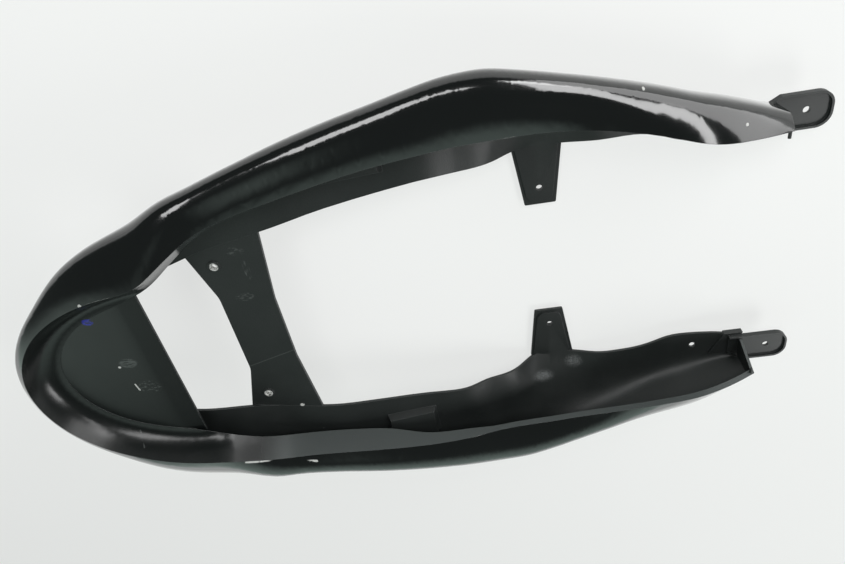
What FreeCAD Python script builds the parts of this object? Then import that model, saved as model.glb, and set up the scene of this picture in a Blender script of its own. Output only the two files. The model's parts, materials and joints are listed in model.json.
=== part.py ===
"""Rear fairing of a motorcycle, moulded in one piece.

X points forward, Y to the rider's left and Z up.  The origin lies midway between the
two bolt holes of the side lugs, on the underside of the lugs.
"""
import FreeCAD, Part
import math
import os

from FreeCAD import Vector

doc = FreeCAD.newDocument("rear_fairing")
sheet = doc.addObject("Spreadsheet::Sheet", "Dimensions")

# Driving dimensions, in millimetres.
SIZES = {
    "wall": 3.0,
    "tail_length": 166.5,
    "dish_depth": 25.0,
    "dish_draft": 9.8,
    "dish_cove": 16.0,
    "dish_floor": 3.0,
    "dish_floor_step": 0.3,
    "dish_overlap": 5.0,
    "dish_front_x": -420.0,
    "band_length": 23.0,
    "band_drop": 4.0,
    "band_half_width": 98.0,
    "lip_wall": 2.5,
    "bridge_rear_x": -339.0,
    "bridge_rear_straight": 50.0,
    "bridge_flare": 17.0,
    "bridge_flare_y": 107.5,
    "bridge_corner_radius": 30.0,
    "bridge_front_x": -282.5,
    "bridge_front_straight": 40.0,
    "bridge_front_sweep": 8.5,
    "bridge_thickness": 4.0,
    "bridge_top_z": 67.0,
    "bridge_hole_x": -330.0,
    "bridge_hole_y": 89.0,
    "lug_hole_y": 90.0,
    "lug_tip_y": 70.5,
    "lug_root_width": 50.0,
    "lug_tip_width": 32.0,
    "lug_thickness": 3.0,
    "lug_pad_height": 2.0,
    "lug_pad_inset": 3.5,
    "lug_pad_end_radius": 9.0,
    "lug_corner_radius": 1.8,
    "tab_hole_x": 240.0,
    "tab_hole_y": 141.0,
    "tab_tip_length": 22.0,
    "tab_half_width": 17.5,
    "tab_tip_radius": 14.0,
    "tab_root_x": 198.0,
    "tab_root_length": 18.0,
    "tab_root_outer_y": 148.0,
    "tab_underside_z": 24.0,
    "tab_thickness": 3.0,
    "tab_lip_height": 3.0,
    "tab_lip_width": 2.2,
    "step_rear_x": 178.0,
    "step_skew": 16.0,
    "step_length": 20.0,
    "step_inner_y": 121.0,
    "step_outer_y": 148.0,
    "step_low_z": 18.0,
    "step_top_z": 24.8,
    "side_hole_x": 161.0,
    "side_hole_y": 138.0,
    "screw_hole": 6.6,
    "boss_diameter": 13.0,
    "boss_height": 1.2,
    "seat_pad_x": -175.0,
    "seat_pad_y": 174.0,
    "seat_pad_length": 52.0,
    "seat_pad_width": 30.0,
    "seat_pad_draft": 4.0,
    "seat_pad_low_z": 55.8,
    "seat_pad_top_z": 65.0,
    "seat_pad_fall": 7.7,
    "seat_pad_tilt": 4.0,
    "end_wall": 3.0,
    "peg_diameter": 3.0,
    "peg_length": 8.5,
    "peg_x": 208.5,
    "peg_y": 145.0,
    "peg_z": 67.8,
}

# Stations along one arm, from its tail end to its front end.  Each has its place along X,
# the rim's height and distance from the middle, how far the side swells beyond the rim and how
# far below the rim it swells most, the belly's height, the inner edge below, the depth of the
# wall that turns down inside the rim, and how far that wall's foot curls in.
STATION_FIELDS = ("x", "rim_y", "rim_z", "swell", "swell_drop", "belly_z", "edge_y", "edge_z", "lip", "cove")
STATIONS = {
    "tail_root": (-375, 117, 139, 50, 29, 80, 100, 72, 29, 3),
    "seat_step": (-335, 141, 122, 45, 13, 70, 109, 64.5, 26, 0),
    "seat_rear": (-313, 152, 112, 38, 8, 68, 113, 64, 26, 0),
    "bridge": (-270, 161, 104, 41, 7, 66, 121, 64.5, 26, 0),
    "rear_arm": (-212, 171, 98, 46, 7, 58, 130, 56, 25, 0),
    "pad_front": (-150, 179, 91, 50, 7, 50, 136, 48, 13, 0),
    "skirt_rear": (-105, 181, 85, 56, 8, 46, 140, 45, 11, 0),
    "skirt_front": (-85, 181, 80, 59, 7, 41, 137, 35, 6, 0),
    "lug_foot_rear": (-48, 180, 76, 61, 6, 33, 137, 29, 6, 0),
    "lug_rear": (-25, 180, 75, 56, 6, 29, 135, 0.8, 6, 0),
    "lug_front": (25, 177, 74, 45, 8, 23, 136, 0.8, 6, 0),
    "lug_foot_front": (48, 174, 76, 41, 11, 20, 137, 13, 6, 0),
    "shoulder": (100, 163, 83, 35, 20, 16, 137, 11, 6, 0),
    "front_arm": (140, 151, 90, 33, 24, 16, 122, 12, 6, 0),
    "front_step": (186, 146, 80, 21, 19, 20, 122, 16, 6, 0),
    "front_end": (212, 143, 69, 12, 13, 26, 124, 23, 6, 0),
}

# Stations round the tail, by the angle from the tail root, in degrees.
TAIL_FIELDS = ("angle", "rim_z", "swell", "swell_drop", "belly_drop", "edge_in", "edge_drop")
TAIL_STATIONS = {
    "tail_side": (26, 138, 36, 18, 50, 24, 58),
    "tail_corner": (48, 137, 17, 10, 43, 36, 52),
    "tail_end": (90, 135, 7, 6, 40, 44, 48),
}

# Shares of the swell that shape the section, and how far in from its inner edge the belly bends.
CROWN_OUT, CROWN_RISE, CROWN_SAG = 0.30, 0.16, 0.40
SHOULDER_OUT, SHOULDER_RISE = 0.86, 0.26
SIDE_OUT, SIDE_FALL = 1.05, 0.10
BELLY_OUT = 0.72
EDGE_BEND = 30.0
EDGE_BEND_SHARE = 0.30
SPLINE_DEGREE = 3

# How far down the lip bends where it has no cove at its foot, and where its hidden side starts to.
LIP_BEND = 0.75
LIP_BACK_BEND = 0.40

# Largest distance between sections along the arms, in millimetres, and round the tail, in degrees.
ARM_STEP = 20.0
TAIL_STEP = 15.0

# Distances below which two points or two faces are taken as touching.
SAME_POINT = 1e-6
JOIN_TOLERANCE = 1e-4


def fill_sheet():
    """Write every size into the sheet, one aliased cell each."""
    named = dict(SIZES)
    for name, values in STATIONS.items():
        named.update({f"{name}_{field}": value for field, value in zip(STATION_FIELDS, values)})
    for name, values in TAIL_STATIONS.items():
        named.update({f"{name}_{field}": value for field, value in zip(TAIL_FIELDS, values)})
    for row, (alias, value) in enumerate(named.items(), start=1):
        sheet.set(f"A{row}", alias)
        sheet.set(f"B{row}", str(value))
        sheet.setAlias(f"B{row}", alias)
    doc.recompute()


def size(alias):
    """One size from the sheet."""
    return float(getattr(sheet, alias))


def section_poles(start, swell, swell_drop, belly_drop, edge_out, edge_drop):
    """Poles of a section's curve, as distances out from the rim and down from it."""
    start_out, start_drop = start
    reach = swell - start_out
    crown_drop = start_drop + CROWN_SAG * (swell_drop - start_drop)
    bend_drop = belly_drop + EDGE_BEND_SHARE * (edge_drop - belly_drop)
    return [
        start,
        (start_out + CROWN_OUT * reach, crown_drop - CROWN_RISE * reach),
        (start_out + SHOULDER_OUT * reach, swell_drop - SHOULDER_RISE * reach),
        (start_out + SIDE_OUT * reach, swell_drop + SIDE_FALL * reach),
        (start_out + BELLY_OUT * reach, belly_drop),
        (edge_out + EDGE_BEND, bend_drop),
        (edge_out, edge_drop),
    ]


class Station:
    """A vertical section plane: where its rim is, which way is out and the section's sizes."""

    def __init__(self, rim, outward, lip, cove, swell, swell_drop, belly_drop, edge_out, edge_drop):
        wall = size("wall")
        self.rim = rim
        self.outward = outward
        corner = (lip_back(wall), wall)
        self.skin = section_poles((0.0, 0.0), swell, swell_drop, belly_drop, edge_out, edge_drop)
        self.hollow = section_poles(corner, swell - wall, swell_drop, belly_drop - wall, edge_out,
                                    edge_drop - wall)
        self.lip, self.back = lip_poles(lip, cove)

    def point(self, out, down):
        return self.rim + self.outward * out - Vector(0, 0, down)

    def outline(self):
        """Poles round the wall: the skin's, its hollow side's, the lip's and the lip's back."""
        sides = (self.skin, self.hollow, self.lip, self.back)
        return [[self.point(*pole) for pole in side] for side in sides]


def lip_back(down):
    """How far out the hidden side of the lip stands at a depth."""
    return size("lip_wall") - size("dish_draft") / size("dish_depth") * down


def lip_poles(depth, cove):
    """Poles of the lip's face and of its hidden side, which curl in together by the cove."""
    wall = size("wall")
    share = cove / size("dish_cove")
    bend = LIP_BEND + (1 - LIP_BEND) * share
    foot = depth + share * size("dish_floor")
    lean = size("dish_draft") / size("dish_depth")
    face = [(-lean * down, down) for down in (0.0, depth / 2, depth * bend)]
    face.append((-lean * depth - cove, depth))
    back = [(lip_back(down), down) for down in (
        wall, wall + LIP_BACK_BEND * (foot - wall), wall + bend * (foot - wall))]
    back.append((lip_back(depth) * (1 - share) + face[-1][0] * share, foot))
    return face, back


def spline(points):
    curve = Part.BSplineCurve()
    curve.buildFromPoles(points, False, SPLINE_DEGREE)
    return curve


def strip(rows, profile):
    """Face swept through lengthwise curves, which are the poles of a profile at every place."""
    surface = Part.BSplineSurface()
    surface.buildFromPolesMultsKnots(
        [row.getPoles() for row in rows], profile.getMultiplicities(), rows[0].getMultiplicities(),
        profile.getKnots(), rows[0].getKnots(), False, False, profile.Degree, rows[0].Degree)
    return surface.toShape()


def straight(points):
    curve = Part.BSplineCurve()
    curve.buildFromPoles(points, False, 1)
    return curve


def monotone(places, values, place):
    """Value at a place on a smooth curve through all values that never overshoots them."""
    count = len(places)
    slopes = [(values[i + 1] - values[i]) / (places[i + 1] - places[i]) for i in range(count - 1)]
    tangents = [slopes[0]]
    for before, after in zip(slopes, slopes[1:]):
        tangents.append(2 * before * after / (before + after) if before * after > 0 else 0.0)
    tangents.append(slopes[-1])
    index = max(i for i in range(count - 1) if places[i] <= place or i == 0)
    span = places[index + 1] - places[index]
    t = (place - places[index]) / span
    return ((1 + 2 * t) * (1 - t) ** 2 * values[index] + t * (1 - t) ** 2 * span * tangents[index]
            + t ** 2 * (3 - 2 * t) * values[index + 1] - t ** 2 * (1 - t) * span * tangents[index + 1])


def even(first, last, step):
    """Evenly spaced places from the first to the last, no further apart than a step."""
    parts = math.ceil(abs(last - first) / step)
    return [first + (last - first) * part / parts for part in range(parts + 1)]


def table(names, fields):
    """Columns of sizes, one for each field, with a value for each named station."""
    return {field: [size(f"{name}_{field}") for name in names] for field in fields}


def arm_station(columns, x, side):
    """The section of one arm at a place along X; side is 1 on the left and -1 on the right."""
    at = {field: monotone(columns["x"], column, x) for field, column in columns.items()}
    rim = Vector(x, side * at["rim_y"], at["rim_z"])
    return Station(rim, Vector(0, side, 0), at["lip"], at["cove"], at["swell"], at["swell_drop"],
                   at["rim_z"] - at["belly_z"], at["edge_y"] - at["rim_y"], at["rim_z"] - at["edge_z"])


def tail_station(columns, angle, side):
    """The section of the tail at an angle behind the tail root."""
    at = {field: monotone(columns["angle"], column, angle) for field, column in columns.items()}
    along, across = math.sin(math.radians(angle)), math.cos(math.radians(angle))
    radius = 1 / math.hypot(along / size("tail_length"), across / size("tail_root_rim_y"))
    outward = Vector(-along, side * across, 0)
    rim = Vector(size("tail_root_x"), 0, at["rim_z"]) + outward * radius
    return Station(rim, outward, at["rim_z"] - dish_top_z(), at["cove"], at["swell"], at["swell_drop"],
                   at["belly_drop"], -at["edge_in"], at["edge_drop"])


def tail_columns(arm):
    """The tail's columns, which start from the arm's own section at the tail root."""
    columns = table(TAIL_STATIONS, TAIL_FIELDS)
    columns["cove"] = [size("dish_cove")] * len(TAIL_STATIONS)
    root = {field: column[0] for field, column in arm.items()}
    starts = {
        "angle": 0.0, "rim_z": root["rim_z"], "swell": root["swell"], "swell_drop": root["swell_drop"],
        "belly_drop": root["rim_z"] - root["belly_z"], "edge_in": root["rim_y"] - root["edge_y"],
        "edge_drop": root["rim_z"] - root["edge_z"], "cove": root["cove"],
    }
    return {field: [starts[field]] + column for field, column in columns.items()}


def stations():
    """All sections in order, from the left front end round the tail to the right front end."""
    arm = table(STATIONS, STATION_FIELDS)
    tail = tail_columns(arm)
    places = even(arm["x"][0], arm["x"][-1], ARM_STEP)
    angles = even(tail["angle"][0], tail["angle"][-1], TAIL_STEP)[1:]
    left = [arm_station(arm, x, 1) for x in reversed(places)]
    left += [tail_station(tail, angle, 1) for angle in angles]
    right = [tail_station(tail, angle, -1) for angle in reversed(angles[:-1])]
    right += [arm_station(arm, x, -1) for x in places]
    return left + right


def skin(planes):
    """The swelling wall with its lip, a closed solid from one front end round to the other."""
    outlines = [plane.outline() for plane in planes]
    outer, inner, lip, back = [
        [spline(poles) for poles in zip(*[outline[part] for outline in outlines])] for part in range(4)]
    faces = [strip(rows, spline([row.StartPoint for row in rows])) for rows in (outer, inner, lip, back)]
    for pair in ([outer[-1], inner[-1]], [lip[-1], back[-1]]):
        faces.append(strip(pair, straight([row.StartPoint for row in pair])))
    for outline in (outlines[0], outlines[-1]):
        faces.append(Part.Face(section_wire(*outline)))
    shell = Part.Shell(faces)
    shell.sewShape()
    solid = Part.Solid(shell)
    if solid.Volume < 0:
        solid.reverse()
    return solid_feature("skin", solid)


def section_wire(outer, inner, lip, back):
    """Closed outline of the wall at one section."""
    edges = [spline(poles) for poles in (outer, inner, lip, back)]
    edges += [straight([outer[-1], inner[-1]]), straight([lip[-1], back[-1]])]
    return Part.Wire(Part.__sortEdges__([edge.toShape() for edge in edges]))


def plate(label, outline, low_z, thickness):
    """A flat plate with its outline given at any height."""
    face = Part.Face(outline)
    face.translate(Vector(0, 0, low_z - face.BoundBox.ZMin))
    return solid_feature(label, face.extrude(Vector(0, 0, thickness)))


def solid_feature(label, shape):
    feature = doc.addObject("Part::Feature", label)
    feature.Shape = shape
    return feature


def rounded(points, radii):
    """A closed outline whose corners are rounded by tangent arcs."""
    edges = []
    starts, ends = [], []
    count = len(points)
    for index, (corner, radius) in enumerate(zip(points, radii)):
        to_before = (points[index - 1] - corner).normalize()
        to_after = (points[(index + 1) % count] - corner).normalize()
        half = to_before.getAngle(to_after) / 2
        reach = radius / math.tan(half)
        middle = (to_before + to_after).normalize() * (radius / math.sin(half) - radius)
        starts.append(corner + to_before * reach)
        ends.append(corner + to_after * reach)
        if radius > 0:
            edges.append(Part.Arc(starts[-1], corner + middle, ends[-1]).toShape())
    for index in range(count):
        if (starts[(index + 1) % count] - ends[index]).Length > SAME_POINT:
            edges.append(Part.LineSegment(ends[index], starts[(index + 1) % count]).toShape())
    return Part.Wire(Part.__sortEdges__(edges))


def flat(points, side=1):
    return [Vector(x, side * y, 0) for x, y in points]


def dish_top_z():
    return size("tail_end_rim_z") - size("dish_depth")


def dish_floor():
    """Floor of the recess behind the seat, set into the foot of the lip and open to the front."""
    inset = size("dish_draft") + size("dish_cove") - size("dish_overlap")
    step = size("dish_floor_step")
    ellipse = Part.Ellipse(Vector(0, 0, 0), size("tail_length") - inset, size("tail_root_rim_y") - inset)
    thickness = size("dish_floor") - 2 * step
    disc = Part.Face(Part.Wire(ellipse.toShape())).extrude(Vector(0, 0, thickness))
    disc.Placement.Base = Vector(size("tail_root_x"), 0, dish_top_z() - step - thickness)
    reach = 2 * size("tail_length")
    keep = Part.makeBox(reach, reach, reach)
    keep.translate(Vector(size("dish_front_x") - reach, -reach / 2, dish_top_z() - reach / 2))
    return solid_feature("dish_floor", disc.common(keep))


def dish_band():
    """Sloping band along the front of the dish floor."""
    front_x = size("dish_front_x")
    step = size("dish_floor_step")
    top_z = dish_top_z() - step
    half_width = size("band_half_width")
    length, drop, floor = size("band_length"), size("band_drop"), size("dish_floor") - 2 * step
    profile = Part.makePolygon([
        Vector(front_x, -half_width, top_z),
        Vector(front_x + length, -half_width, top_z - drop),
        Vector(front_x + length, -half_width, top_z - drop - floor),
        Vector(front_x, -half_width, top_z - floor),
        Vector(front_x, -half_width, top_z),
    ])
    return solid_feature("dish_band", Part.Face(profile).extrude(Vector(0, 2 * half_width, 0)))


def bridge():
    """Cross plate between the arms: its ends run into their lower edges and flare to the rear."""
    rear_x, front_x = size("bridge_rear_x"), size("bridge_front_x")
    side_points = [
        (front_x, size("bridge_front_straight")),
        (front_x + size("bridge_front_sweep"), size("bridge_edge_y") + size("wall")),
        (size("seat_step_x"), size("seat_step_edge_y") + size("wall")),
        (rear_x - size("bridge_flare"), size("bridge_flare_y")),
        (rear_x, size("bridge_rear_straight")),
    ]
    radius = size("bridge_corner_radius")
    radii = [radius, 0, 0, 0, radius]
    points = flat(side_points) + flat(reversed(side_points), -1)
    outline = rounded(points, radii + radii[::-1])
    low_z = size("bridge_top_z") - size("bridge_thickness")
    return plate("bridge", outline, low_z, size("bridge_thickness"))


def lug_outline(side, margin, tip_radius):
    """Outline of a lug, drawn in by a margin on three sides."""
    root, tip = size("lug_root_width") / 2 - margin, size("lug_tip_width") / 2 - margin
    root_y = size("lug_rear_edge_y") + size("wall")
    tip_y = size("lug_tip_y") + margin
    points = flat([(-root, root_y), (-tip, tip_y), (tip, tip_y), (root, root_y)], side)
    return rounded(points, [0, tip_radius, tip_radius, 0])


def lug(side):
    """Bolt lug under an arm: a square plate with a round-ended pad on it."""
    thickness = size("lug_thickness")
    base = plate("lug_plate", lug_outline(side, 0, size("lug_corner_radius")), 0, thickness)
    pad_outline = lug_outline(side, size("lug_pad_inset"), size("lug_pad_end_radius"))
    pad = plate("lug_pad", pad_outline, thickness, size("lug_pad_height"))
    return [base, pad]


def tab_outline(side, margin):
    """Outline of a front tab, drawn in by a margin: a tongue that widens from its root."""
    low = size("tab_hole_y") - size("tab_half_width") + margin
    high = size("tab_hole_y") + size("tab_half_width") - margin
    tip_x = size("tab_hole_x") + size("tab_tip_length") - margin
    root_x = size("tab_root_x")
    radius = size("tab_tip_radius") - margin
    points = flat([
        (root_x, low), (tip_x, low), (tip_x, high), (root_x + size("tab_root_length"), high),
        (root_x, size("tab_root_outer_y") - margin),
    ], side)
    return Part.Face(rounded(points, [0, radius, radius, 0, 0]))


def tab(side):
    """Front tab with a low lip round its edge."""
    low_z, thickness = size("tab_underside_z"), size("tab_thickness")
    tongue = tab_outline(side, 0)
    tongue.translate(Vector(0, 0, low_z))
    lip = tongue.extrude(Vector(0, 0, thickness + size("tab_lip_height")))
    hollow = tab_outline(side, size("tab_lip_width"))
    hollow.translate(Vector(0, 0, low_z + thickness))
    tray = lip.cut(hollow.extrude(Vector(0, 0, 2 * size("tab_lip_height"))))
    return solid_feature("tab", tray)


def step(side):
    """Slanting step on the arm's lower edge, from which the tab springs."""
    rear_x, skew, length = size("step_rear_x"), size("step_skew"), size("step_length")
    inner_y, outer_y = size("step_inner_y"), size("step_outer_y")
    points = flat([
        (rear_x, outer_y), (rear_x + skew, inner_y), (rear_x + skew + length, inner_y),
        (rear_x + length, outer_y),
    ], side)
    low_z = size("step_low_z")
    return plate("step", rounded(points, [0, 0, 0, 0]), low_z, size("step_top_z") - low_z)


def end_wall(side):
    """Wall that closes the front end of an arm."""
    arm = table(STATIONS, STATION_FIELDS)
    front = arm_station(arm, arm["x"][-1], side)
    skin = spline(front.outline()[0])
    chord = Part.LineSegment(skin.EndPoint, skin.StartPoint)
    face = Part.Face(Part.Wire([skin.toShape(), chord.toShape()]))
    return solid_feature("end_wall", face.extrude(Vector(-size("end_wall"), 0, 0)))


def seat_pad(side):
    """Raised pad inside an arm, under the seat, which falls forward with the belly."""
    half_x, half_y = size("seat_pad_length") / 2, size("seat_pad_width") / 2
    half_fall, half_tilt = size("seat_pad_fall") / 2, size("seat_pad_tilt") / 2
    centre = Vector(size("seat_pad_x"), side * size("seat_pad_y"), 0)

    def ring(z, grow):
        corners = [(-1, -1), (1, -1), (1, 1), (-1, 1), (-1, -1)]
        return Part.makePolygon([
            centre + Vector(a * (half_x + grow), side * b * (half_y + grow),
                            z - a * half_fall + b * half_tilt) for a, b in corners])

    rings = [ring(size("seat_pad_low_z"), size("seat_pad_draft")), ring(size("seat_pad_top_z"), 0)]
    return solid_feature("seat_pad", Part.makeLoft(rings, True, True))


def cylinder(label, diameter, height, base):
    """A standing cylinder whose sizes and place follow the sheet by expressions."""
    item = doc.addObject("Part::Cylinder", label)
    item.setExpression("Radius", f"{diameter} / 2")
    item.setExpression("Height", height)
    for axis, place in zip("xyz", base):
        item.setExpression(f"Placement.Base.{axis}", place)
    return item


def boss(side):
    """Raised ring round a hole in the bridge."""
    base = ("Dimensions.bridge_hole_x", f"{side} * Dimensions.bridge_hole_y", "Dimensions.bridge_top_z")
    return cylinder("boss", "Dimensions.boss_diameter", "Dimensions.boss_height", base)


def peg(side):
    """Small peg that points inwards from the front corner of the rim."""
    base = ("Dimensions.peg_x", f"{side} * Dimensions.peg_y", "Dimensions.peg_z")
    item = cylinder("peg", "Dimensions.peg_diameter", "Dimensions.peg_length", base)
    item.Placement.Rotation = FreeCAD.Rotation(Vector(1, 0, 0), 90 * side)
    return item


def screw_hole(x, y, middle_z):
    """Drill through a plate, centred on a height."""
    base = (x, y, f"{middle_z} - Dimensions.boss_diameter")
    return cylinder("screw_hole", "Dimensions.screw_hole", "2 * Dimensions.boss_diameter", base)


def build():
    """Join the moulding and drill it."""
    pieces = [skin(stations()), dish_floor(), dish_band(), bridge()]
    holes = []
    for side in (1, -1):
        pieces += lug(side)
        pieces += [tab(side), step(side), end_wall(side), seat_pad(side), boss(side), peg(side)]
        holes.append(screw_hole("0", f"{side} * Dimensions.lug_hole_y", "0"))
        for name, height in (("tab", "tab_underside_z"), ("bridge", "bridge_top_z"),
                             ("side", "front_arm_edge_z")):
            holes.append(screw_hole(f"Dimensions.{name}_hole_x", f"{side} * Dimensions.{name}_hole_y",
                                    f"Dimensions.{height}"))
    doc.recompute()
    shapes = [piece.Shape for piece in pieces]
    moulding = shapes[0].multiFuse(shapes[1:], JOIN_TOLERANCE)
    fairing = solid_feature("fairing", moulding.cut([hole.Shape for hole in holes], JOIN_TOLERANCE))
    fairing.Label = "rear_fairing"
    return fairing


def check(part):
    """Stop if anything in the document failed or the part isn't one sound solid."""
    for item in doc.Objects:
        if {"Invalid", "Error"} & set(item.State):
            raise RuntimeError(f"{item.Label} failed")
    if part.Shape.isNull() or not part.Shape.isValid():
        raise RuntimeError(f"{part.Label} has no sound shape")
    if len(part.Shape.Solids) != 1:
        raise RuntimeError(f"{part.Label} is not one solid")


fill_sheet()
part = build()
doc.recompute()
check(part)
os.makedirs("parts", exist_ok=True)
part.Shape.exportStep(f"parts/{part.Label}.step")
box = part.Shape.BoundBox
print("size", round(box.XLength), round(box.YLength), round(box.ZLength), "volume", round(part.Shape.Volume))
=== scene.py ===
# %% [markdown]
# # A motorcycle's rear fairing
# The real thing is one plastic moulding. A glossy black skin swells out round the sides and the tail,
# a satin lip and tray lie inside its rim, and the hollow side, the bridge and the lugs are bare plastic.
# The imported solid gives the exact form, so the lesson is about finish: smooth shading, paint,
# moulded grain, and the knocks and scuffs of a used part.

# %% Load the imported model
import json
import math

import bpy
from mathutils import Matrix, Vector

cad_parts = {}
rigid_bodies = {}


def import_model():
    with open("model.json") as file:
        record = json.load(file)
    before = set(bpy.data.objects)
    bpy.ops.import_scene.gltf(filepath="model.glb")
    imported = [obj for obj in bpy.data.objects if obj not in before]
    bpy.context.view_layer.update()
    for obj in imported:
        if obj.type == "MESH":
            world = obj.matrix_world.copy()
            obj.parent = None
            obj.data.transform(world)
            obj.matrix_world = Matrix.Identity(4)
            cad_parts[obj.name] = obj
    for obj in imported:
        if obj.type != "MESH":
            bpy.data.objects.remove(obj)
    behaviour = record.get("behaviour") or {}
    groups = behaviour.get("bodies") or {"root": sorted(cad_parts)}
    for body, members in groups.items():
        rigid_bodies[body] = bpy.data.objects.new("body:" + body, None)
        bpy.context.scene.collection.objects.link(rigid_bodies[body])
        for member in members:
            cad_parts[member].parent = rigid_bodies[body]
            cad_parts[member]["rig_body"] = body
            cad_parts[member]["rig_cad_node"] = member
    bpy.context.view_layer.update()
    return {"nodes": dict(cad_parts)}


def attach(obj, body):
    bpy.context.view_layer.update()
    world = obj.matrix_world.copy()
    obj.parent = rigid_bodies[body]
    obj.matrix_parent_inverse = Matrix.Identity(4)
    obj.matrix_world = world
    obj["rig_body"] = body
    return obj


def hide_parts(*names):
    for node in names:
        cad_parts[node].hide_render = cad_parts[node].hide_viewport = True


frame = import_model()

# %% [markdown]
# ## The moulding
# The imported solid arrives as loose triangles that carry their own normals, which shade as flat facets
# and break up a reflection. A copy whose corners are merged, and whose stored normals are cleared, can
# shade smoothly wherever two faces meet at a small angle and stay crisp along the rim, the plates and
# the holes. The copy then stands in for the solid.


# %% Merge and smooth a copy
def only(obj):
    """Select one object and nothing else."""
    bpy.ops.object.select_all(action="DESELECT")
    obj.select_set(True)
    bpy.context.view_layer.objects.active = obj


MERGE_DISTANCE = 0.00001
CRISP_ANGLE = math.radians(28)

only(frame["nodes"]["rear_fairing"])
bpy.ops.object.duplicate()
moulding = bpy.context.view_layer.objects.active
moulding.name = "moulding"
moulding.parent = None
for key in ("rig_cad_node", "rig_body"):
    del moulding[key]
only(moulding)
bpy.ops.object.mode_set(mode="EDIT")
bpy.ops.mesh.select_all(action="SELECT")
bpy.ops.mesh.remove_doubles(threshold=MERGE_DISTANCE)
bpy.ops.mesh.customdata_custom_splitnormals_clear()
bpy.ops.mesh.select_all(action="DESELECT")
bpy.ops.object.mode_set(mode="OBJECT")
bpy.ops.object.shade_smooth_by_angle(angle=CRISP_ANGLE)
print("moulding", len(moulding.data.vertices), "corners", len(moulding.data.polygons), "faces")

# %% [markdown]
# ## Where the paint is
# The outside was sprayed and polished, the lip and the tray caught a satin coat, and the rest stayed
# bare. Each of the three is bounded by crisp edges, so one face of it is picked by its place, and the
# selection then spreads as far as those edges.

# %% Pick faces by their place
SAME_WAY = 0.7


def nearest_face(spot, normal):
    """The face nearest to a spot, among those that look the same way as a normal."""
    facing = [face for face in moulding.data.polygons if face.normal.dot(Vector(normal)) > SAME_WAY]
    return min(facing, key=lambda face: (face.center - Vector(spot)).length)


def spread_material(index, seeds):
    """Give a material to everything that joins on smoothly to some faces."""
    only(moulding)
    bpy.ops.object.mode_set(mode="EDIT")
    bpy.ops.mesh.select_mode(type="FACE")
    bpy.ops.mesh.select_all(action="DESELECT")
    bpy.ops.object.mode_set(mode="OBJECT")
    for spot, normal in seeds:
        nearest_face(spot, normal).select = True
    bpy.ops.object.mode_set(mode="EDIT")
    bpy.ops.mesh.select_linked(delimit={"SHARP"})
    moulding.active_material_index = index
    bpy.ops.object.material_slot_assign()
    bpy.ops.mesh.select_all(action="DESELECT")
    bpy.ops.object.mode_set(mode="OBJECT")
    area = sum(face.area for face in moulding.data.polygons if face.material_index == index)
    print("material", index, "covers", round(area, 4), "square metres")


PLASTIC, PAINT, SATIN = range(3)
plastic = bpy.data.materials.new("bare_plastic")
paint = bpy.data.materials.new("black_paint")
satin = bpy.data.materials.new("satin_coat")
moulding.data.materials.clear()
for material in (plastic, paint, satin):
    material.use_nodes = True
    moulding.data.materials.append(material)
for face in moulding.data.polygons:
    face.material_index = PLASTIC
spread_material(PAINT, [((0.0, 0.24, 0.07), (0, 1, 0))])
spread_material(SATIN, [
    ((-0.535, 0.0, 0.127), (1, 0, 0)), ((-0.45, 0.0, 0.1097), (0, 0, 1)), ((-0.409, 0.0, 0.107), (0, 0, 1)),
])
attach(moulding, "root")
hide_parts("rear_fairing")

# %% [markdown]
# ## Node groups that the finishes share
# Grain, dust, specks, rubbed edges, scuffs, scratches and worn rings turn up more than once on this
# part. Each is made once as a node group and placed in a material with its own values.


# %% Helpers for nodes
def add_node(tree, kind, inputs, **options):
    """Add a node, set its options, and fill its inputs from values or from other nodes' outputs."""
    node = tree.nodes.new(kind)
    for name, value in options.items():
        setattr(node, name, value)
    for name, value in inputs.items():
        if isinstance(value, bpy.types.NodeSocket):
            tree.links.new(value, node.inputs[name])
        else:
            node.inputs[name].default_value = value
    return node


def new_group(name, inputs, output):
    """A group with number or vector inputs and one number as its output."""
    group = bpy.data.node_groups.new(name, "ShaderNodeTree")
    for label, value in inputs.items():
        kind = "NodeSocketFloat" if isinstance(value, float) else "NodeSocketVector"
        socket = group.interface.new_socket(name=label, in_out="INPUT", socket_type=kind)
        socket.default_value = value
    group.interface.new_socket(name=output, in_out="OUTPUT", socket_type="NodeSocketFloat")
    return group, group.nodes.new("NodeGroupInput").outputs, group.nodes.new("NodeGroupOutput").inputs


def place(tree):
    """Where a point is on the part."""
    return tree.nodes.new("ShaderNodeTexCoord").outputs["Object"]


def noise(tree, vector, scale, detail):
    """Cloudy noise between 0 and 1."""
    inputs = {"Vector": vector, "Scale": scale, "Detail": detail}
    return add_node(tree, "ShaderNodeTexNoise", inputs).outputs["Fac"]


def fade(tree, value, start, end):
    """Run smoothly from 0 at one value to 1 at another."""
    inputs = {"Value": value, "From Min": start, "From Max": end}
    node = add_node(tree, "ShaderNodeMapRange", inputs, interpolation_type="SMOOTHSTEP")
    return node.outputs["Result"]


def reckon(tree, operation, first, second):
    """Work out a number from two others."""
    return add_node(tree, "ShaderNodeMath", {0: first, 1: second}, operation=operation).outputs[0]


def reckon_vector(tree, operation, first, second, output="Vector"):
    """Work out a vector, or one number, from two vectors."""
    node = add_node(tree, "ShaderNodeVectorMath", {0: first, 1: second}, operation=operation)
    return node.outputs[output]


# %% Moulded grain
GRAIN_RIPPLES = 45.0
grain, given, result = new_group("moulded_grain", {"Scale": 900.0}, "Height")
pits = add_node(grain, "ShaderNodeTexVoronoi", {"Vector": place(grain), "Scale": given["Scale"]})
ripple = noise(grain, place(grain), GRAIN_RIPPLES, 2.0)
grain.links.new(reckon(grain, "ADD", pits.outputs["Distance"], ripple), result["Height"])
print("group", grain.name)

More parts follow.
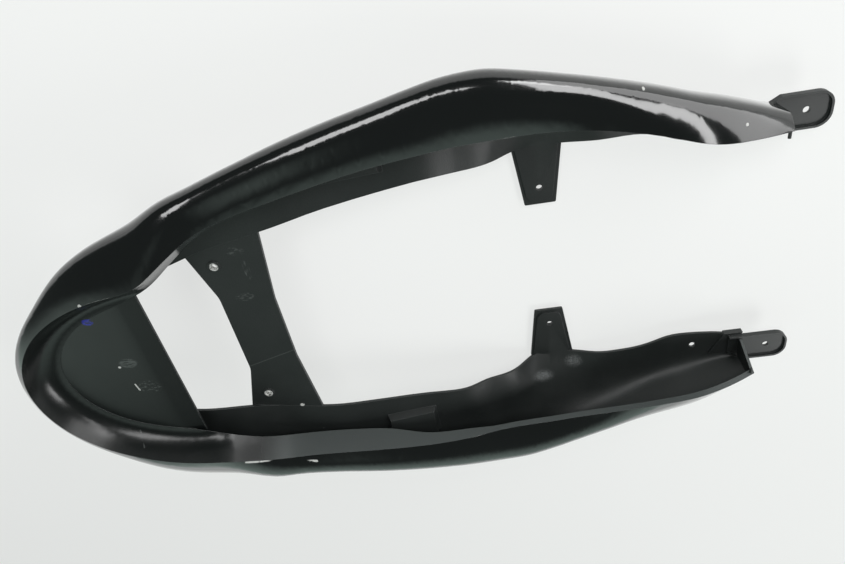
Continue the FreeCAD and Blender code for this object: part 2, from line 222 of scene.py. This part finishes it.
# %% Dust and haze
DUST_PATCHES = 14.0
DUST_GRAINS = 700.0
dust, given, result = new_group("settled_dust", {"Amount": 0.5}, "Dust")
patches = fade(dust, noise(dust, place(dust), DUST_PATCHES, 5.0), 0.25, 0.85)
grains = fade(dust, noise(dust, place(dust), DUST_GRAINS, 2.0), 0.30, 0.80)
cover = reckon(dust, "MULTIPLY", patches, grains)
dust.links.new(reckon(dust, "MULTIPLY", cover, given["Amount"]), result["Dust"])
print("group", dust.name)

# %% Bright specks
specks, given, result = new_group("specks", {"Scale": 160.0, "Size": 0.12, "Share": 0.02}, "Specks")
cells = add_node(specks, "ShaderNodeTexVoronoi", {"Vector": place(specks), "Scale": given["Scale"]})
chance = add_node(specks, "ShaderNodeSeparateColor", {"Color": cells.outputs["Color"]})
dot = reckon(specks, "LESS_THAN", cells.outputs["Distance"], given["Size"])
chosen = reckon(specks, "LESS_THAN", chance.outputs["Red"], given["Share"])
specks.links.new(reckon(specks, "MULTIPLY", dot, chosen), result["Specks"])
print("group", specks.name)

# %% Rubbed edges
# A bevel node gives the normal that a rounded edge would have. Where it leans away from the surface's
# own normal there is an edge within its radius.
RUB_PATCHES = 30.0
RUB_GRAINS = 420.0
RUB_SOFTNESS = 0.15
LEAN_STARTS = 0.99
LEAN_FULL = 0.90
rubbed, given, result = new_group("rubbed_edges", {"Width": 0.001, "Cover": 0.5}, "Rubbed")
ragged = reckon(rubbed, "MULTIPLY", noise(rubbed, place(rubbed), RUB_GRAINS, 3.0), given["Width"])
rounded = add_node(rubbed, "ShaderNodeBevel", {"Radius": reckon(rubbed, "MULTIPLY", ragged, 2.0)})
own = rubbed.nodes.new("ShaderNodeNewGeometry").outputs["Normal"]
likeness = reckon_vector(rubbed, "DOT_PRODUCT", rounded.outputs["Normal"], own, "Value")
line = fade(rubbed, likeness, LEAN_STARTS, LEAN_FULL)
broken = fade(rubbed, noise(rubbed, place(rubbed), RUB_PATCHES, 4.0), given["Cover"],
              reckon(rubbed, "ADD", given["Cover"], RUB_SOFTNESS))
rubbed.links.new(reckon(rubbed, "MULTIPLY", line, broken), result["Rubbed"])
print("group", rubbed.name)

# %% A scuffed patch
SCUFF_GRAINS = 420.0
SCUFF_SOFTNESS = 0.18
scuff, given, result = new_group("scuff", {
    "Centre": (0.0, 0.0, 0.0), "Reach": (0.01, 0.01, 0.01), "Streak": (1.0, 1.0, 1.0), "Core": 0.7,
    "Cover": 0.5}, "Scuff")
offset = reckon_vector(scuff, "SUBTRACT", place(scuff), given["Centre"])
scaled = reckon_vector(scuff, "DIVIDE", offset, given["Reach"])
spread = reckon_vector(scuff, "LENGTH", scaled, (0, 0, 0), "Value")
streaks = reckon_vector(scuff, "MULTIPLY", place(scuff), given["Streak"])
rough = noise(scuff, streaks, SCUFF_GRAINS, 3.0)
torn = fade(scuff, rough, given["Cover"], reckon(scuff, "ADD", given["Cover"], SCUFF_SOFTNESS))
scuff.links.new(reckon(scuff, "MULTIPLY", fade(scuff, spread, 1.0, given["Core"]), torn), result["Scuff"])
print("group", scuff.name)

# %% A scratch from one point to another
SCRATCH_BREAKS = 240.0
SCRATCH_SOFTNESS = 0.1
scratch, given, result = new_group(
    "scratch", {"Start": (0.0, 0.0, 0.0), "End": (0.01, 0.0, 0.0), "Width": 0.0005, "Cover": 0.3},
    "Scratch")
line = reckon_vector(scratch, "SUBTRACT", given["End"], given["Start"])
offset = reckon_vector(scratch, "SUBTRACT", place(scratch), given["Start"])
share = add_node(scratch, "ShaderNodeMath", {
    0: reckon_vector(scratch, "DOT_PRODUCT", offset, line, "Value"),
    1: reckon_vector(scratch, "DOT_PRODUCT", line, line, "Value")}, operation="DIVIDE", use_clamp=True)
along = add_node(scratch, "ShaderNodeVectorMath", {0: line, "Scale": share.outputs[0]}, operation="SCALE")
away = reckon_vector(scratch, "DISTANCE", offset, along.outputs["Vector"], "Value")
breaks = noise(scratch, place(scratch), SCRATCH_BREAKS, 3.0)
whole = fade(scratch, breaks, given["Cover"], reckon(scratch, "ADD", given["Cover"], SCRATCH_SOFTNESS))
stroke = fade(scratch, away, given["Width"], reckon(scratch, "MULTIPLY", given["Width"], 0.5))
scratch.links.new(reckon(scratch, "MULTIPLY", stroke, whole), result["Scratch"])
print("group", scratch.name)

# %% A worn ring round a hole
RING_SQUASH = (1, 1, 0.4)
ring, given, result = new_group("worn_ring", {"Centre": (0.0, 0.0, 0.0), "Radius": 0.005}, "Ring")
offset = reckon_vector(ring, "SUBTRACT", place(ring), given["Centre"])
flat = reckon_vector(ring, "MULTIPLY", offset, RING_SQUASH)
away = reckon_vector(ring, "LENGTH", flat, (0, 0, 0), "Value")
worn = fade(ring, noise(ring, place(ring), SCUFF_GRAINS, 3.0), 0.30, 0.55)
band = fade(ring, away, given["Radius"], reckon(ring, "MULTIPLY", given["Radius"], 0.85))
ring.links.new(reckon(ring, "MULTIPLY", band, worn), result["Ring"])
print("group", ring.name)


# %% Helpers that place groups
EDGE_ROUNDING = 0.0008


def placed(tree, group, **values):
    """Place a group in a material with its own values, and give its output."""
    node = tree.nodes.new("ShaderNodeGroup")
    node.node_tree = group
    for name, value in values.items():
        node.inputs[name].default_value = value
    return node.outputs[0]


def together(tree, masks):
    """The strongest of several masks."""
    strongest = masks[0]
    for mask in masks[1:]:
        strongest = reckon(tree, "MAXIMUM", strongest, mask)
    return strongest


def layer(tree, below, colour, mask):
    """Lay a colour over another one where a mask shows it."""
    node = add_node(tree, "ShaderNodeMix", {0: mask, 6: below, 7: colour}, data_type="RGBA")
    return node.outputs[2]


def between(tree, low, high, mask):
    """A number that runs from one value to another with a mask."""
    return add_node(tree, "ShaderNodeMix", {0: mask, 2: low, 3: high}).outputs[0]


def bump(tree, height, strength, depth):
    """Raise a relief on a surface whose crisp edges catch the light as if rounded."""
    rounded = add_node(tree, "ShaderNodeBevel", {"Radius": EDGE_ROUNDING}).outputs["Normal"]
    inputs = {"Height": height, "Strength": strength, "Distance": depth, "Normal": rounded}
    return add_node(tree, "ShaderNodeBump", inputs).outputs["Normal"]


# %% [markdown]
# ## Glossy black paint
# The skin is black under a hard clear coat: almost no colour of its own, and mirror-like reflections
# with a faint ripple. The coat is rubbed through to pale plastic in places along the rim, small chips
# are missing from it, and a few bright specks lie on it. A pale line along the rim of the right arm is
# partly worn coat and partly a painted highlight, standing for light that glints along that rim.

# %% Paint
BLACK = (0.0030, 0.0034, 0.0036, 1)
DUST_GREY = (0.30, 0.29, 0.27, 1)
PALE = (0.62, 0.62, 0.60, 1)
PAINT_RIPPLES = 190.0
COAT_ROUGHNESS = 0.07

tree = paint.node_tree
shader = tree.nodes["Principled BSDF"]
haze = placed(tree, dust, Amount=0.006)
chips = together(tree, [
    placed(tree, rubbed, Width=0.0007, Cover=0.60),
    placed(tree, specks, Scale=42.0, Size=0.045, Share=0.05),
    placed(tree, scuff, Centre=(-0.4295, 0.1102, 0.1379), Reach=(0.0022, 0.0022, 0.003), Cover=0.30),
    placed(tree, scuff, Centre=(-0.1216, 0.1632, 0.0499), Reach=(0.003, 0.002, 0.004), Cover=0.40),
    placed(tree, scuff, Centre=(-0.0438, 0.1579, 0.0296), Reach=(0.004, 0.002, 0.004), Cover=0.40),
    placed(tree, scuff, Centre=(0.0852, 0.2004, 0.0654), Reach=(0.0014, 0.0014, 0.004), Cover=0.20),
    placed(tree, scuff, Centre=(0.1677, 0.1599, 0.0776), Reach=(0.0016, 0.0014, 0.004), Cover=0.20),
    # Pale line along the right rim: partly a scratch through the coat, partly a painted highlight of light
    # glinting on that rim.
    placed(tree, scratch, Start=(-0.356, -0.1300, 0.1300), End=(-0.288, -0.1660, 0.1090), Width=0.0022,
           Cover=0.32),
])
colour = layer(tree, BLACK, DUST_GREY, haze)
tree.links.new(layer(tree, colour, PALE, chips), shader.inputs["Base Color"])
tree.links.new(between(tree, 0.13, 0.55, chips), shader.inputs["Roughness"])
tree.links.new(reckon(tree, "SUBTRACT", 1.0, chips), shader.inputs["Coat Weight"])
shader.inputs["Coat Roughness"].default_value = COAT_ROUGHNESS
peel = noise(tree, place(tree), PAINT_RIPPLES, 1.0)
tree.links.new(bump(tree, peel, 0.03, 0.0002), shader.inputs["Normal"])
print("paint nodes", len(tree.nodes))

# %% [markdown]
# ## Satin coat
# Inside the rim the spray only dusted the lip and the tray, so they shine softly, and along the arms
# the lip is duller and greyer. Things carried on the tray have left two scuffs, a scratch down to the
# lip, and a stray dab of blue ink.

# %% Satin lip and tray
SATIN_BLACK = (0.0050, 0.0062, 0.0060, 1)
LEDGE_GREY = (0.060, 0.068, 0.067, 1)
SCUFF_GREY = (0.060, 0.066, 0.064, 1)
INK_BLUE = (0.015, 0.020, 0.30, 1)
LEDGE_START = -0.350
LEDGE_FULL = -0.315
SHEEN_PATCHES = 22.0
SATIN_GRAIN = 1400.0

tree = satin.node_tree
shader = tree.nodes["Principled BSDF"]
haze = placed(tree, dust, Amount=0.020)
marks = together(tree, [
    placed(tree, scuff, Centre=(-0.4385, 0.0145, 0.1097), Reach=(0.011, 0.007, 0.01),
           Streak=(0.3, 1.2, 1.0), Cover=0.36),
    placed(tree, scuff, Centre=(-0.4300, -0.0200, 0.1097), Reach=(0.014, 0.010, 0.01),
           Streak=(0.5, 1.0, 1.0), Cover=0.50),
    placed(tree, scratch, Start=(-0.4662, -0.0802, 0.1129), End=(-0.4622, -0.0935, 0.1263), Width=0.0010,
           Cover=0.15),
    placed(tree, rubbed, Width=0.0006, Cover=0.45),
])
nicks = together(tree, [
    placed(tree, scuff, Centre=(-0.4495, 0.0105, 0.1097), Reach=(0.0018, 0.0016, 0.01), Cover=0.20),
    placed(tree, scratch, Start=(-0.4440, -0.0150, 0.1097), End=(-0.4425, -0.0235, 0.1097), Width=0.0011,
           Cover=0.25),
])
ink = placed(tree, scuff, Centre=(-0.4545, 0.0720, 0.1097), Reach=(0.0065, 0.005, 0.01),
             Streak=(0.5, 1.0, 1.0), Cover=0.38)
along = add_node(tree, "ShaderNodeSeparateXYZ", {"Vector": place(tree)}).outputs["X"]
colour = layer(tree, SATIN_BLACK, LEDGE_GREY, fade(tree, along, LEDGE_START, LEDGE_FULL))
colour = layer(tree, colour, DUST_GREY, haze)
colour = layer(tree, colour, SCUFF_GREY, marks)
colour = layer(tree, colour, PALE, nicks)
tree.links.new(layer(tree, colour, INK_BLUE, ink), shader.inputs["Base Color"])
sheen = noise(tree, place(tree), SHEEN_PATCHES, 4.0)
tree.links.new(between(tree, 0.18, 0.30, sheen), shader.inputs["Roughness"])
relief = placed(tree, grain, Scale=SATIN_GRAIN)
tree.links.new(bump(tree, relief, 0.05, 0.0003), shader.inputs["Normal"])
print("satin nodes", len(tree.nodes))

# %% [markdown]
# ## Bare plastic
# The hollow side, the bridge, the lugs and the tabs keep the mould's fine grain. The bridge is scuffed,
# has worn rings round its holes and a line across it. The root of the right lug is rough, and the pale
# patches on it are painted highlights: glints of light on that rough surface, laid on as colour.

# %% Plastic
MOULDED_BLACK = (0.0105, 0.0126, 0.0121, 1)
WORN_BLACK = (0.0180, 0.0210, 0.0204, 1)
EDGE_GREY = (0.040, 0.044, 0.044, 1)
ROOT_GLINT_GREY = (0.22, 0.23, 0.23, 1)
WORN_PATCHES = 28.0
PLASTIC_GRAIN = 900.0

tree = plastic.node_tree
shader = tree.nodes["Principled BSDF"]
haze = placed(tree, dust, Amount=0.022)
marks = together(tree, [
    placed(tree, scuff, Centre=(-0.3035, 0.1030, 0.067), Reach=(0.010, 0.006, 0.01),
           Streak=(0.5, 1.0, 1.0), Cover=0.48),
    placed(tree, scuff, Centre=(-0.2990, 0.0800, 0.067), Reach=(0.004, 0.014, 0.01),
           Streak=(1.2, 0.3, 1.0), Cover=0.50),
    placed(tree, scuff, Centre=(-0.3120, 0.0480, 0.067), Reach=(0.011, 0.006, 0.01),
           Streak=(0.5, 1.0, 1.0), Cover=0.48),
    placed(tree, scratch, Start=(-0.3380, -0.0458, 0.067), End=(-0.2835, -0.0305, 0.067), Width=0.0005,
           Cover=0.20),
    placed(tree, specks, Scale=85.0, Size=0.07, Share=0.04),
])
chips = together(tree, [
    placed(tree, scuff, Centre=(-0.2973, -0.1143, 0.067), Reach=(0.003, 0.0025, 0.006), Cover=0.25),
    placed(tree, ring, Centre=(-0.330, 0.089, 0.067), Radius=0.0048),
    placed(tree, ring, Centre=(-0.330, -0.089, 0.067), Radius=0.0052),
])
# Painted highlights: pale patches that stand for light glinting on the rough roots of the right lug.
root_glints = together(tree, [
    placed(tree, scuff, Centre=(-0.0134, -0.1609, 0.0175), Reach=(0.016, 0.010, 0.012),
           Streak=(2.4, 2.4, 2.4), Core=0.0, Cover=0.40),
    placed(tree, scuff, Centre=(0.0244, -0.1476, 0.0113), Reach=(0.014, 0.010, 0.012),
           Streak=(2.4, 2.4, 2.4), Core=0.0, Cover=0.42),
])
edges = placed(tree, rubbed, Width=0.0009, Cover=0.36)
patchy = noise(tree, place(tree), WORN_PATCHES, 5.0)
colour = layer(tree, MOULDED_BLACK, WORN_BLACK, patchy)
colour = layer(tree, colour, DUST_GREY, haze)
colour = layer(tree, colour, EDGE_GREY, edges)
colour = layer(tree, colour, SCUFF_GREY, marks)
colour = layer(tree, colour, ROOT_GLINT_GREY, root_glints)
tree.links.new(layer(tree, colour, PALE, chips), shader.inputs["Base Color"])
tree.links.new(between(tree, 0.38, 0.52, patchy), shader.inputs["Roughness"])
relief = placed(tree, grain, Scale=PLASTIC_GRAIN)
tree.links.new(bump(tree, relief, 0.16, 0.0004), shader.inputs["Normal"])
print("plastic nodes", len(tree.nodes))

# %% [markdown]
# ## Floor, light and camera
# The part lies on a plain pale floor. To the camera and in reflections the floor glows a little, which
# evens out its light and leaves the shadows soft. A long lamp over the left arm draws the stripe along
# its shoulder, a second one the stripe at its front, and two broad ones light the front facet and the
# tabs. The sky is dim overhead, so that the black stays black, and brighter behind the tail and low
# down on the right. The camera itself sees only a plain pale sky.

# %% Floor
FLOOR_SIZE = 30.0
FLOOR_Z = -0.004
FLOOR_GLOW = 0.70
FLOOR_PALE = (0.84, 0.85, 0.835, 1)
GLOW_LEFT = (0.99, 1.0, 0.99, 1)
GLOW_RIGHT = (0.89, 0.90, 0.89, 1)
GLOW_FROM = -0.5
GLOW_TO = 0.4
bpy.ops.object.select_all(action="DESELECT")
bpy.ops.mesh.primitive_plane_add(size=FLOOR_SIZE, location=(0, 0, FLOOR_Z))
floor = bpy.context.view_layer.objects.active
floor.name = "floor"
floor_paint = bpy.data.materials.new("pale_floor")
floor_paint.use_nodes = True
floor.data.materials.append(floor_paint)
tree = floor_paint.node_tree
shader = tree.nodes["Principled BSDF"]
shader.inputs["Base Color"].default_value = FLOOR_PALE
shader.inputs["Roughness"].default_value = 0.7
shader.inputs["Specular IOR Level"].default_value = 0.1
ray = tree.nodes.new("ShaderNodeLightPath").outputs
seen = together(tree, [ray["Is Camera Ray"], ray["Is Glossy Ray"], ray["Is Transmission Ray"]])
across = add_node(tree, "ShaderNodeSeparateXYZ", {"Vector": place(tree)}).outputs["Y"]
pale = layer(tree, GLOW_RIGHT, GLOW_LEFT, fade(tree, across, GLOW_FROM, GLOW_TO))
glow = add_node(tree, "ShaderNodeEmission", {"Color": pale}).outputs["Emission"]
share = reckon(tree, "MULTIPLY", seen, FLOOR_GLOW)
lit = add_node(tree, "ShaderNodeMixShader", {0: share, 1: shader.outputs["BSDF"], 2: glow})
tree.links.new(lit.outputs["Shader"], tree.nodes["Material Output"].inputs["Surface"])
print("floor", floor.name)


# %% Lamps
LAMP_TARGET = Vector((0.0, 0.15, 0.08))


def strip_lamp(name, start, end, width, power):
    """A lamp that reaches from one point to another and faces the part."""
    start, end = Vector(start), Vector(end)
    middle = (start + end) / 2
    along = (end - start).normalized()
    back = middle - LAMP_TARGET
    back = (back - along * back.dot(along)).normalized()
    bpy.ops.object.light_add(type="AREA", location=middle)
    lamp = bpy.context.view_layer.objects.active
    lamp.name = name
    lamp.data.shape = "RECTANGLE"
    lamp.data.size = (end - start).length
    lamp.data.size_y = width
    lamp.data.energy = power
    lamp.rotation_mode = "QUATERNION"
    lamp.rotation_quaternion = Matrix((along, back.cross(along), back)).transposed().to_quaternion()
    print("lamp", name, "length", round(lamp.data.size, 2), "power", power)


strip_lamp("shoulder_lamp", (-0.66, 0.70, 1.42), (0.056, 1.25, 1.18), 0.44, 8)
strip_lamp("front_lamp", (0.65, 1.43, 0.68), (0.78, 0.62, 1.38), 0.24, 5.5)
strip_lamp("facet_lamp", (0.75, 1.60, 0.60), (1.65, 0.68, 0.60), 0.90, 10)
strip_lamp("tab_lamp", (0.95, -0.32, 1.20), (0.85, -1.10, 0.95), 0.45, 8.5)

# %% Sky
SKY_DIM = (0.085, 0.100, 0.095, 1)
SKY_REAR = (0.76, 0.92, 0.85, 1)
SKY_RIGHT = (0.50, 0.62, 0.57, 1)
SKY_LOW = (0.84, 0.87, 0.86, 1)
SKY_SEEN = (0.80, 0.81, 0.80, 1)
world = bpy.data.worlds.new("studio")
bpy.context.scene.world = world
world.use_nodes = True
tree = world.node_tree
direction = tree.nodes.new("ShaderNodeTexCoord").outputs["Generated"]
way = add_node(tree, "ShaderNodeSeparateXYZ", {"Vector": direction}).outputs
rear = reckon(tree, "MULTIPLY", fade(tree, way["Y"], 0.05, -0.40), fade(tree, way["Y"], -0.68, -0.46))
rear = reckon(tree, "MULTIPLY", fade(tree, way["X"], 0.05, -0.45), rear)
sky = layer(tree, SKY_DIM, SKY_REAR, rear)
sky = layer(tree, sky, SKY_RIGHT, fade(tree, way["Y"], -0.64, -0.90))
sky = layer(tree, sky, SKY_LOW, fade(tree, way["Z"], 0.20, 0.02))
ray = tree.nodes.new("ShaderNodeLightPath").outputs
sky = layer(tree, sky, SKY_SEEN, ray["Is Camera Ray"])
tree.links.new(sky, tree.nodes["Background"].inputs["Color"])
print("sky nodes", len(tree.nodes))

# %% Camera
CAMERA_PLACE = Vector((-0.05582, 0.41035, 0.59500))
CAMERA_RIGHT = Vector((0.98506, -0.17160, -0.01431))
CAMERA_DOWN = Vector((-0.13102, -0.80082, 0.58439))
CAMERA_AHEAD = Vector((-0.11174, -0.57379, -0.81134))
SENSOR_WIDTH = 36.0
FOCAL_LENGTH = 27.565
CLIP_START = 0.01

bpy.ops.object.camera_add(location=CAMERA_PLACE)
camera = bpy.context.view_layer.objects.active
camera.name = "camera"
turn = Matrix((CAMERA_RIGHT, -CAMERA_DOWN, -CAMERA_AHEAD)).transposed()
camera.rotation_mode = "QUATERNION"
camera.rotation_quaternion = turn.to_quaternion()
camera.data.sensor_width = SENSOR_WIDTH
camera.data.lens = FOCAL_LENGTH
camera.data.clip_start = CLIP_START
bpy.context.scene.camera = camera
bpy.context.scene.view_settings.view_transform = "Standard"
print("camera", tuple(round(v, 3) for v in camera.location))
